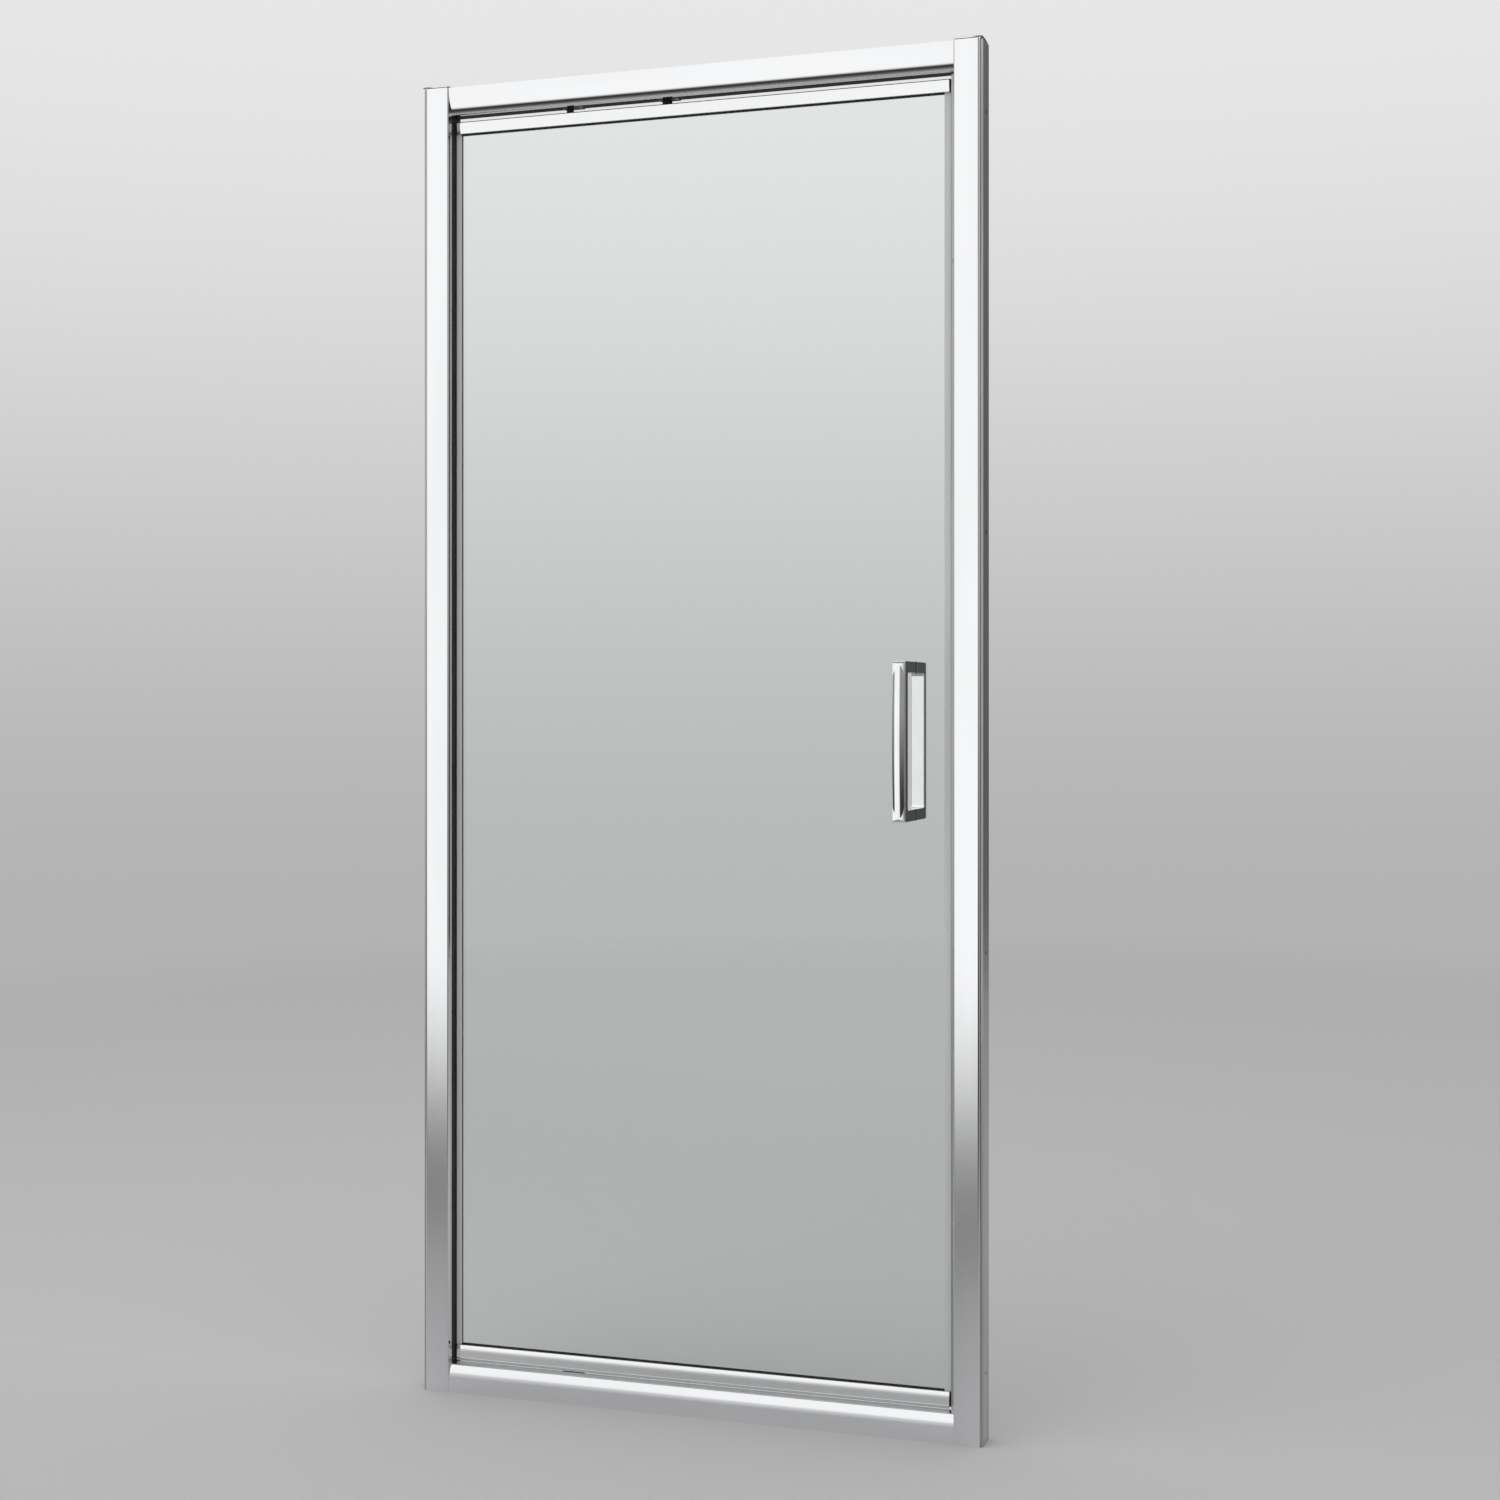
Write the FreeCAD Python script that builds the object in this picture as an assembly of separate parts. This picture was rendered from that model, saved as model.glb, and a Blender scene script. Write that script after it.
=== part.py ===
"""Framed pivot shower door for a niche, in millimetres.

+Z is up, +X runs from the pivot side to the handle side, and the room is on the -Y side.
Y = 0 is the middle plane of the glass, X = 0 the middle of the frame, and Z = 0 its foot.
"""
import FreeCAD, Part
import math
import os

Vector = FreeCAD.Vector

# Frame as a whole
frame_height = 2000.0
frame_width = 875.0
frame_depth = 46.0
glass_setback = 32.0

# Jambs and the wall channels that they telescope over
jamb_face = 38.0
jamb_wall = 1.6
jamb_outer_round = 2.5
jamb_inner_round = 2.0
jamb_hook_straight = 2.5
jamb_front_land = 23.0
jamb_back_land = 6.0
jamb_recess_depth = 3.0
channel_reveal = 4.2
channel_depth = 28.0
channel_wall = 1.6
channel_slip = 0.4
wall_hole_radius = 3.0
wall_hole_margin = 100.0
wall_hole_rows = 4
cap_height = 3.5
cap_round = 0.8

# Header and sill
header_height = 40.5
sill_height = 43.0
crossbar_setback = 2.0
crossbar_wall = 1.8
header_nose_depth = 13.0
header_lip_land = 2.5
sill_nose_depth = 6.0
sill_lip_land = 16.5
crossbar_step = 3.5
port_radius = 3.7
port_inset = 9.0
port_from_lip = 18.0

# Screws: one size for the frame, a smaller one for the blocks and the strike
screw_radius = 2.0
screw_head_radius = 3.4
screw_head_height = 2.2
screw_length = 18.0
small_screw_radius = 1.5
small_screw_head_radius = 3.0
small_screw_length = 8.0
screw_clearance = 0.1
screw_chamfer = 0.8
jamb_screw_edge = 6.0
jamb_screw_margin = 150.0
jamb_screw_rows = 3
strike_screw_margin = 309.0
strike_screw_length = 5.5

# Leaf: glass between two rails
leaf_left_gap = 1.4
leaf_right_gap = 9.2
top_gap = 7.5
bottom_gap = 4.2
glass_thickness = 6.0
rail_depth = 20.0
rail_wall = 1.6
rail_side_wall = 3.5
rail_web = 1.5
rail_round = 2.0
rail_lean = 1.6
rail_lean_height = 8.5
rail_front_round = 60.0
rail_edge_round = 0.8
rail_slot_depth = 9.0
top_rail_height = 18.5
bottom_rail_height = 21.0
gasket_side = 1.5
gasket_base = 1.2
gasket_lip = 1.0
end_cap_thickness = 2.0
end_cap_tongue = 6.0

# Seals on the upright edges and under the bottom rail
seal_skin = 1.0
hinge_seal_leg = 6.0
hinge_seal_overhang = 0.6
hinge_glass_inset = 2.5
closing_seal_leg = 6.0
closing_seal_nose = 4.0
magnet_thickness = 2.4
magnet_width = 5.6
magnet_clearance = 0.1
strike_gap = 0.8
buffer_setback = 0.4
buffer_flap = 9.0
buffer_flap_thickness = 0.8
header_strip_width = 20.0
header_strip_thickness = 3.0
drip_width = 17.0
drip_skin = 1.0
drip_clearance = 0.7

# Pivots and the blocks that carry them
pivot_from_opening = 189.0
pin_radius = 3.0
pin_clearance = 0.04
bush_wall = 0.8
boss_wall = 1.2
boss_flare = 0.6
block_plate = 3.0
block_short_end = 11.0
block_long_end = 21.0
block_half_depth = 10.0
block_corner = 2.0
block_clearance = 0.4
spigot_depth = 15.0
spigot_clearance = 0.1
insert_length = 40.0
insert_clearance = 0.1
washer_thickness = 1.4
stop_from_pivot = 155.0
stop_lip_thickness = 3.0
stop_lip_drop = 8.0

# Handle pair, back to back through the glass
handle_from_edge = 62.1
handle_height = 1001.5
handle_length = 230.0
handle_width = 19.6
outer_handle_reach = 71.0
outer_handle_bar = 20.5
inner_handle_reach = 65.0
inner_handle_bar = 15.5
handle_leg = 17.0
handle_corner = 5.0
handle_window_corner = 4.0
handle_brow = 0.6
handle_lens_height = 3.4
handle_lens_radius = 26.0
handle_lens_inset = 1.4
handle_edge_round = 1.0
handle_gasket = 1.0
stud_radius = 3.0
stud_engagement = 16.0
sleeve_wall = 2.7
sleeve_clearance = 0.1
set_screw_radius = 2.0
set_screw_sink = 1.0

# Cutting tools run this far past a face
past = 1.0

# Places worked out from the sizes above
wall_x = frame_width / 2
jamb_x = wall_x - channel_reveal
opening_x = jamb_x - jamb_face
recess_x = opening_x + jamb_recess_depth
channel_mouth = wall_x - channel_depth
jamb_front = -glass_setback
jamb_back = jamb_front + frame_depth
jamb_hook = jamb_front + jamb_outer_round + jamb_hook_straight
recess_front = jamb_front + jamb_front_land
recess_back = jamb_back - jamb_back_land
channel_front = jamb_hook + channel_slip
channel_back = jamb_back - jamb_wall - channel_slip
crossbar_front = jamb_front + crossbar_setback
header_lip = crossbar_front + header_nose_depth + header_lip_land
sill_lip = crossbar_front + sill_nose_depth + sill_lip_land
header_bottom = frame_height - header_height
header_underside = header_bottom + crossbar_step
sill_floor = sill_height - crossbar_step
port_y = jamb_front + jamb_front_land / 2
header_levels = (frame_height, header_bottom, header_underside)
sill_levels = (0, sill_height, sill_floor)
header_ports = (frame_height - port_inset, header_bottom + port_from_lip)
sill_ports = (port_inset, sill_height - port_from_lip)

leaf_left = -opening_x + leaf_left_gap
leaf_right = opening_x - leaf_right_gap
leaf_top = header_bottom - top_gap
leaf_bottom = sill_height + bottom_gap
rail_half = rail_depth / 2
rail_left = leaf_left + end_cap_thickness
rail_right = leaf_right - end_cap_thickness
chamber_half = rail_half - rail_side_wall
glass_half = glass_thickness / 2
slot_half = glass_half + gasket_side
glass_left = leaf_left + hinge_glass_inset
glass_right = leaf_right - closing_seal_nose
seals_bottom = leaf_bottom + bottom_rail_height
seals_top = leaf_top - top_rail_height
glass_bottom = seals_bottom - rail_slot_depth + gasket_base
glass_top = seals_top + rail_slot_depth - gasket_base

pivot_x = -opening_x + pivot_from_opening
stop_x = pivot_x + stop_from_pivot
bush_radius = pin_radius + pin_clearance + bush_wall
boss_radius = bush_radius + boss_wall
foot_radius = boss_radius + boss_flare
header_foot = leaf_top + block_clearance
sill_foot = leaf_bottom - block_clearance - washer_thickness
block_screw_offset = block_long_end - small_screw_head_radius - boss_wall

handle_x = leaf_right - handle_from_edge
handle_foot = glass_half + handle_gasket
handle_bottom = handle_height - handle_length / 2
handle_top = handle_height + handle_length / 2
stud_heights = (handle_bottom + handle_leg / 2, handle_top - handle_leg / 2)
stud_bore = stud_radius + screw_clearance


def closed_wire(corners, place):
    """A closed outline of straight runs, with a tangent arc at each corner that has a radius."""
    count = len(corners)
    starts = []
    ends = []
    middles = []
    for index in range(count):
        u, v, radius = corners[index]
        before = corners[index - 1]
        after = corners[(index + 1) % count]
        corner = Vector(u, v, 0)
        into = (Vector(before[0], before[1], 0) - corner).normalize()
        out = (Vector(after[0], after[1], 0) - corner).normalize()
        if radius == 0:
            starts.append(corner)
            ends.append(corner)
            middles.append(None)
            continue
        half_angle = into.getAngle(out) / 2
        reach = radius / math.tan(half_angle)
        bisector = (into + out).normalize()
        starts.append(corner + into * reach)
        ends.append(corner + out * reach)
        middles.append(corner + bisector * (radius / math.sin(half_angle) - radius))
    edges = []
    for index in range(count):
        if middles[index] is not None:
            points = [starts[index], middles[index], ends[index]]
            edges.append(Part.Arc(*[place(p.x, p.y) for p in points]).toShape())
        begin = ends[index]
        finish = starts[(index + 1) % count]
        if (finish - begin).Length > 1e-6:
            edges.append(Part.LineSegment(place(begin.x, begin.y), place(finish.x, finish.y)).toShape())
    return Part.Wire(edges)


def upright(corners, low, high):
    """A profile drawn in X and Y, extruded up from low to high."""
    face = Part.Face(closed_wire(corners, lambda x, y: Vector(x, y, low)))
    return face.extrude(Vector(0, 0, high - low))


def lengthwise(corners, left, right):
    """A profile drawn in Y and Z, extruded along X from left to right."""
    face = Part.Face(closed_wire(corners, lambda y, z: Vector(left, y, z)))
    return face.extrude(Vector(right - left, 0, 0))


def box(corner, opposite):
    """A rectangular block between two opposite corners, given in any order."""
    low = [min(pair) for pair in zip(corner, opposite)]
    high = [max(pair) for pair in zip(corner, opposite)]
    return Part.makeBox(high[0] - low[0], high[1] - low[1], high[2] - low[2], Vector(*low))


def rod(radius, start, end):
    """A round bar between two points."""
    line = Vector(*end) - Vector(*start)
    return Part.makeCylinder(radius, line.Length, Vector(*start), line)


def screw(seat, direction, length, radius, head_radius, head_height):
    """A pan-head screw, turned as one piece: its head stands on the seat, its shank goes in."""
    section = closed_wire([
        (0, -head_height, 0),
        (head_radius - screw_chamfer, -head_height, 0),
        (head_radius, -head_height + screw_chamfer, 0),
        (head_radius, 0, 0),
        (radius, 0, 0),
        (radius, length, 0),
        (0, length, 0),
    ], lambda r, z: Vector(r, 0, z))
    turned = Part.Face(section).revolve(Vector(0, 0, 0), Vector(0, 0, 1), 360)
    turned.Placement = FreeCAD.Placement(
        Vector(*seat), FreeCAD.Rotation(Vector(0, 0, 1), Vector(*direction))
    )
    return turned


def mirrored(shape, across=Vector(1, 0, 0)):
    """The same piece on the other side of the frame's middle, or of another plane through the origin."""
    return shape.mirror(Vector(0, 0, 0), across)


def spread(low, high, count):
    """Evenly spaced places from low to high."""
    return [low + (high - low) * index / (count - 1) for index in range(count)]


def save(name, *solids):
    """Writes one node: a single piece, or a group of separate solids."""
    shape = solids[0] if len(solids) == 1 else Part.makeCompound(list(solids))
    shape.exportStep("parts/%s.step" % name)


def jamb_screw_places():
    """Middles of the screws that hold a jamb on its wall channel, as X and Z."""
    heights = spread(jamb_screw_margin, frame_height - jamb_screw_margin, jamb_screw_rows)
    return [(channel_mouth + jamb_screw_edge, z) for z in heights]


def right_jamb():
    """C profile: hooked nose beside the wall, round front corners, and a recess for the seal strip."""
    wall = jamb_wall
    jamb = upright([
        (jamb_x, jamb_front, jamb_outer_round),
        (opening_x, jamb_front, jamb_inner_round),
        (opening_x, recess_front, 0),
        (recess_x, recess_front, 0),
        (recess_x, recess_back, 0),
        (opening_x, recess_back, 0),
        (opening_x, jamb_back, jamb_inner_round),
        (jamb_x, jamb_back, 0),
        (jamb_x, jamb_back - wall, 0),
        (opening_x + wall, jamb_back - wall, 0),
        (opening_x + wall, recess_back + wall, 0),
        (recess_x + wall, recess_back + wall, 0),
        (recess_x + wall, recess_front - wall, 0),
        (opening_x + wall, recess_front - wall, 0),
        (opening_x + wall, jamb_front + wall, jamb_inner_round - wall),
        (jamb_x - wall, jamb_front + wall, jamb_outer_round - wall),
        (jamb_x - wall, jamb_hook, 0),
        (jamb_x, jamb_hook, 0),
    ], 0, frame_height)
    hole = screw_radius + screw_clearance
    for z in header_ports + sill_ports:
        jamb = jamb.cut(rod(hole, (opening_x - past, port_y, z), (opening_x + wall + past, port_y, z)))
    for x, z in jamb_screw_places():
        jamb = jamb.cut(rod(hole, (x, jamb_back - wall - past, z), (x, jamb_back + past, z)))
    return jamb


def right_wall_channel():
    """U profile on the niche wall, open towards the door, inside the jamb."""
    web = wall_x - channel_wall
    channel = upright([
        (wall_x, channel_front, 0),
        (wall_x, channel_back, 0),
        (channel_mouth, channel_back, 0),
        (channel_mouth, channel_back - channel_wall, 0),
        (web, channel_back - channel_wall, 0),
        (web, channel_front + channel_wall, 0),
        (channel_mouth, channel_front + channel_wall, 0),
        (channel_mouth, channel_front, 0),
    ], 0, frame_height)
    middle = (channel_front + channel_back) / 2
    for z in spread(wall_hole_margin, frame_height - wall_hole_margin, wall_hole_rows):
        channel = channel.cut(rod(wall_hole_radius, (web - past, middle, z), (wall_x + past, middle, z)))
    tapped = screw_radius + screw_clearance
    for x, z in jamb_screw_places():
        flange = channel_back - channel_wall
        channel = channel.cut(rod(tapped, (x, flange - past, z), (x, channel_back + past, z)))
    return channel


def right_jamb_cap():
    """Flat cap over jamb and channel, with two legs that plug into the jamb above its corner screws."""
    top = frame_height + cap_height
    cap = upright([
        (wall_x, jamb_hook, 0),
        (jamb_x, jamb_hook, 0),
        (jamb_x, jamb_front, jamb_outer_round),
        (opening_x, jamb_front, jamb_inner_round),
        (opening_x, jamb_back, jamb_inner_round),
        (wall_x, jamb_back, 0),
    ], frame_height, top)
    rim = []
    for edge in cap.Edges:
        middle = edge.CenterOfMass
        if abs(middle.z - top) < 1e-6 and middle.x < jamb_x and middle.y < jamb_back - 1e-6:
            rim.append(edge)
    cap = cap.makeFillet(cap_round, rim)
    leg_bottom = header_ports[0] + screw_head_radius + channel_slip
    leg_left = opening_x + jamb_inner_round
    leg_right = channel_mouth - channel_slip
    front_leg = jamb_front + jamb_wall + channel_slip
    back_leg = recess_front - 2 * jamb_wall - channel_slip
    for y in (front_leg, back_leg):
        cap = cap.fuse(box((leg_left, y, leg_bottom), (leg_right, y + jamb_wall, frame_height)))
    return cap.removeSplitter()


def nosed_bar(left, right, levels, nose_depth, lip_back, inset):
    """Solid bar with an elliptic nose that falls back towards the leaf, all faces moved in by the inset."""
    outer_z, inner_z, step_z = levels
    way = 1 if inner_z > outer_z else -1
    front = crossbar_front + inset
    back = jamb_back - inset
    lip = lip_back - inset
    base_z = outer_z + way * inset
    lip_z = inner_z - way * inset
    floor_z = step_z - way * inset
    nose_y = crossbar_front + nose_depth
    centre = Vector(left, nose_y, base_z)
    ellipse = Part.Ellipse(Vector(left, nose_y, lip_z), Vector(left, front, base_z), centre)
    nose = Part.Arc(ellipse, 0, math.pi / 2).toShape()
    corners = [
        (nose_y, lip_z),
        (lip, lip_z),
        (lip, floor_z),
        (back, floor_z),
        (back, base_z),
        (front, base_z),
    ]
    edges = Part.makePolygon([Vector(left, y, z) for y, z in corners]).Edges
    return Part.Face(Part.Wire([nose] + edges)).extrude(Vector(right - left, 0, 0))


def crossbar(levels, nose_depth, lip_back, ports):
    """Hollow bar between the jambs. Its nose and its stepped floor face the leaf."""
    left = -opening_x
    right = opening_x
    envelope = nosed_bar(left, right, levels, nose_depth, lip_back, 0)
    hollow = nosed_bar(left - past, right + past, levels, nose_depth, lip_back, crossbar_wall)
    bar = envelope.cut(hollow)
    web_front = crossbar_front + crossbar_wall / 2
    web_half = crossbar_wall / 2
    for z in ports:
        port = rod(port_radius, (left, port_y, z), (right, port_y, z))
        web = box((left, web_front, z - web_half), (right, port_y, z + web_half))
        bar = bar.fuse(port.fuse(web).common(envelope))
    hole = screw_radius + screw_clearance
    for z in ports:
        bar = bar.cut(rod(hole, (left - past, port_y, z), (right + past, port_y, z)))
    return bar.removeSplitter()


def block_holes(x, floor_z, inward):
    """What a block needs in its crossbar: a bore for its spigot and a hole for its screw."""
    outside = floor_z - inward * past
    spigot_end = floor_z + inward * (spigot_depth + past)
    bore = rod(boss_radius + spigot_clearance, (x, 0, outside), (x, 0, spigot_end))
    screw_x = x + block_screw_offset
    screw_end = floor_z + inward * small_screw_length
    hole = rod(small_screw_radius + screw_clearance, (screw_x, 0, outside), (screw_x, 0, screw_end))
    return bore.fuse(hole)


def bearing_block(x, floor_z, inward, foot_z, half_depth):
    """Moulded block: plate on the crossbar, spigot in it, and a flared foot towards the leaf."""
    plate_z = floor_z - inward * block_plate
    plate = upright([
        (x - block_short_end, -half_depth, block_corner),
        (x + block_long_end, -half_depth, block_corner),
        (x + block_long_end, half_depth, block_corner),
        (x - block_short_end, half_depth, block_corner),
    ], min(floor_z, plate_z), max(floor_z, plate_z))
    spigot = rod(boss_radius, (x, 0, floor_z), (x, 0, floor_z + inward * spigot_depth))
    drop = abs(plate_z - foot_z)
    foot = Part.makeCone(boss_radius, foot_radius, drop, Vector(x, 0, plate_z), Vector(0, 0, -inward))
    block = plate.fuse([spigot, foot]).removeSplitter()
    screw_x = x + block_screw_offset
    below = plate_z - inward * past
    hole_end = floor_z + inward * past
    hole = rod(small_screw_radius + screw_clearance, (screw_x, 0, below), (screw_x, 0, hole_end))
    sink_end = plate_z + inward * block_plate / 2
    sink = rod(small_screw_head_radius + screw_clearance, (screw_x, 0, below), (screw_x, 0, sink_end))
    return block.cut([hole, sink])


def bored(block, foot_z, inward, bore_end):
    """The block with the blind bore that takes its bush."""
    start = (pivot_x, 0, foot_z - inward * past)
    return block.cut(rod(bush_radius + spigot_clearance / 2, start, (pivot_x, 0, bore_end)))


def bush(foot_z, bore_end):
    """Plain bearing bush from the foot of a block to the end of its bore."""
    tube = rod(bush_radius, (pivot_x, 0, foot_z), (pivot_x, 0, bore_end))
    return tube.cut(rod(pin_radius + pin_clearance, (pivot_x, 0, foot_z), (pivot_x, 0, bore_end)))


def stop_block():
    """Block like the pivot block, with a lip behind the top rail that stops the leaf when it shuts."""
    block = bearing_block(stop_x, header_underside, 1, header_foot, block_half_depth)
    lip_front = rail_half + block_clearance
    lip_back = lip_front + stop_lip_thickness
    left = stop_x - boss_radius
    right = stop_x + boss_radius
    bridge = box((left, 0, header_underside - block_plate), (right, lip_back, header_underside))
    lip = box((left, lip_front, leaf_top - stop_lip_drop), (right, lip_back, header_underside))
    return block.fuse([bridge, lip]).removeSplitter()


def build_jambs():
    """Both jambs with their wall channels, caps and fixing screws."""
    for name, shape in (
        ("jamb", right_jamb()), ("wall_channel", right_wall_channel()), ("jamb_cap", right_jamb_cap())
    ):
        save("right_" + name, shape)
        save("left_" + name, mirrored(shape))
    screws = []
    for x, z in jamb_screw_places():
        seat = (x, jamb_back, z)
        screws.append(screw(
            seat, (0, -1, 0), small_screw_length, screw_radius, screw_head_radius, screw_head_height
        ))
    save("jamb_screws", *screws, *[mirrored(one) for one in screws])


def build_crossbars():
    """Header and sill, and the screws through the jambs into their ports."""
    header = crossbar(header_levels, header_nose_depth, header_lip, header_ports)
    for x in (pivot_x, stop_x):
        header = header.cut(block_holes(x, header_underside, 1))
    save("header_rail", header)
    sill = crossbar(sill_levels, sill_nose_depth, sill_lip, sill_ports)
    save("sill_rail", sill.cut(block_holes(pivot_x, sill_floor, -1)))
    screws = []
    for z in header_ports + sill_ports:
        seat = (opening_x + jamb_wall, port_y, z)
        screws.append(screw(
            seat, (-1, 0, 0), screw_length, screw_radius, screw_head_radius, screw_head_height
        ))
    save("corner_screws", *screws, *[mirrored(one) for one in screws])


def build_blocks():
    """The two pivot blocks with bush and washer, the stop block, and their screws."""
    header_bore_end = header_underside + spigot_depth - boss_wall
    header_block = bearing_block(pivot_x, header_underside, 1, header_foot, block_half_depth)
    save("header_pivot_block", bored(header_block, header_foot, 1, header_bore_end))
    save("header_pivot_bush", bush(header_foot, header_bore_end))
    save("header_stop_block", stop_block())
    sill_bore_end = sill_floor - spigot_depth + boss_wall
    sill_block = bearing_block(pivot_x, sill_floor, -1, sill_foot, -sill_lip - block_clearance)
    save("sill_pivot_block", bored(sill_block, sill_foot, -1, sill_bore_end))
    save("sill_pivot_bush", bush(sill_foot, sill_bore_end))
    washer_top = (pivot_x, 0, sill_foot + washer_thickness)
    washer = rod(foot_radius, (pivot_x, 0, sill_foot), washer_top)
    save("thrust_washer", washer.cut(rod(pin_radius + screw_clearance, (pivot_x, 0, sill_foot), washer_top)))
    screws = []
    for x, floor_z, inward in (
        (pivot_x, header_underside, 1), (stop_x, header_underside, 1), (pivot_x, sill_floor, -1)
    ):
        seat = (x + block_screw_offset, 0, floor_z - inward * block_plate / 2)
        length = small_screw_length - screw_clearance + block_plate / 2
        screws.append(screw(
            seat, (0, 0, inward), length, small_screw_radius, small_screw_head_radius, block_plate / 2
        ))
    save("block_screws", *screws)


def build_strike():
    """Strike strip with its magnet in the recess of the right jamb."""
    near = leaf_right + strike_gap
    skin = seal_skin / 2
    half = magnet_width / 2
    strip = upright([
        (near, recess_front, skin),
        (recess_x, recess_front, 0),
        (recess_x, recess_back, 0),
        (near, recess_back, skin),
    ], sill_height, header_bottom)
    pocket_end = near + skin + magnet_thickness + magnet_clearance
    strip = strip.cut(box(
        (near + skin, -half - magnet_clearance, sill_height - past),
        (pocket_end, half + magnet_clearance, header_bottom + past),
    ))
    screw_x = (near + opening_x) / 2
    screws = []
    for z in (strike_screw_margin, frame_height - strike_screw_margin):
        hole_end = (screw_x, recess_front + strike_screw_length + screw_clearance, z)
        hole = rod(small_screw_radius + screw_clearance, (screw_x, recess_front - past, z), hole_end)
        strip = strip.cut(hole)
        screws.append(screw(
            (screw_x, recess_front, z), (0, 1, 0), strike_screw_length,
            small_screw_radius, small_screw_head_radius, screw_head_height,
        ))
    save("strike_strip", strip)
    save("strike_screws", *screws)
    magnet_x = near + skin + magnet_clearance / 2
    magnet_end = magnet_x + magnet_thickness
    save("jamb_magnet", box((magnet_x, -half, sill_height), (magnet_end, half, header_bottom)))


def build_hinge_buffer():
    """Rubber strip in the recess of the left jamb, with a flap over the jamb's face in front of the leaf."""
    face = -opening_x - buffer_setback
    flap_face = -opening_x + buffer_flap_thickness
    strip = upright([
        (-recess_x, recess_front, 0),
        (-opening_x, recess_front, 0),
        (-opening_x, recess_front - buffer_flap, 0),
        (flap_face, recess_front - buffer_flap, buffer_flap_thickness / 2),
        (flap_face, recess_front, 0),
        (face, recess_front + buffer_setback + buffer_flap_thickness, 0),
        (face, recess_back, 0),
        (-recess_x, recess_back, 0),
    ], sill_height, header_bottom)
    save("hinge_jamb_seal", strip)


def build_header_strip():
    """Rubber strip in the step under the header, with pockets for the two blocks."""
    top = header_underside
    back = header_lip + header_strip_width
    bottom = top - header_strip_thickness
    strip = box((-opening_x, header_lip, bottom), (opening_x, back, top))
    pocket_front = -block_half_depth - block_clearance
    for x in (pivot_x, stop_x):
        left = x - block_short_end - block_clearance
        right = x + block_long_end + block_clearance
        strip = strip.cut(box((left, pocket_front, bottom - past), (right, back + past, top + past)))
    save("header_seal", strip)


def rail_outline(face_z, glass_z):
    """Outer section of a door rail: both sides lean in towards the glass in a soft bend."""
    bend_z = glass_z + math.copysign(rail_lean_height, face_z - glass_z)
    slim_half = rail_half - rail_lean
    return [
        (-rail_half, face_z, rail_round),
        (-rail_half, bend_z, rail_front_round),
        (-slim_half, glass_z, rail_edge_round),
        (slim_half, glass_z, rail_edge_round),
        (rail_half, bend_z, rail_front_round),
        (rail_half, face_z, rail_round),
    ]


class Rail:
    """Heights of one door rail, from the face at the frame to the edge at the glass."""

    def __init__(self, face_z, height, toward_glass):
        self.face = face_z
        self.way = toward_glass
        self.glass = face_z + toward_glass * height
        self.slot = self.glass - toward_glass * rail_slot_depth
        self.chamber_near = face_z + toward_glass * rail_wall
        self.chamber_far = self.slot - toward_glass * rail_web

    def profile(self):
        """The rail: a slot for the glass on one side, a chamber for the pivot insert on the other."""
        rail = lengthwise(rail_outline(self.face, self.glass), rail_left, rail_right)
        left = rail_left - past
        right = rail_right + past
        slot = box((left, -slot_half, self.slot), (right, slot_half, self.glass + self.way * past))
        chamber = box((left, -chamber_half, self.chamber_near), (right, chamber_half, self.chamber_far))
        outside = (pivot_x, 0, self.face - self.way * past)
        pin_hole = rod(pin_radius + screw_clearance, outside, (pivot_x, 0, self.chamber_near))
        return rail.cut([slot, chamber, pin_hole])

    def gasket(self):
        """U gasket round the glass edge, with a lip that shows between the seals beyond the rail."""
        lip = self.glass + self.way * gasket_lip
        edge = self.slot + self.way * gasket_base
        whole = box((rail_left, -slot_half, self.slot), (rail_right, slot_half, self.glass))
        band_left = glass_left + hinge_seal_leg
        band_right = glass_right - closing_seal_leg
        band = box((band_left, -slot_half, self.glass), (band_right, slot_half, lip))
        groove = box((glass_left, -glass_half, edge), (glass_right, glass_half, lip + self.way * past))
        return whole.fuse(band).cut(groove).removeSplitter()

    def cap(self, outer_x, side):
        """End cap with a tongue in the rail's chamber."""
        inner_x = outer_x - side * end_cap_thickness
        plate = lengthwise(rail_outline(self.face, self.glass), min(outer_x, inner_x), max(outer_x, inner_x))
        return plate.fuse(self.plug(inner_x, inner_x - side * end_cap_tongue)).removeSplitter()

    def insert(self):
        """Block inside the chamber that holds the pivot pin."""
        block = self.plug(pivot_x - insert_length / 2, pivot_x + insert_length / 2)
        bore = rod(pin_radius + pin_clearance, (pivot_x, 0, self.face), (pivot_x, 0, self.slot))
        return block.cut(bore)

    def plug(self, start_x, end_x):
        """A block that fills the chamber, less its clearance, between two places along the rail."""
        half = chamber_half - insert_clearance
        near = self.chamber_near + self.way * insert_clearance
        return box((start_x, -half, near), (end_x, half, self.pin_root()))

    def pin_root(self):
        """Where the pivot pin ends inside the rail."""
        return self.chamber_far - self.way * insert_clearance


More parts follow.
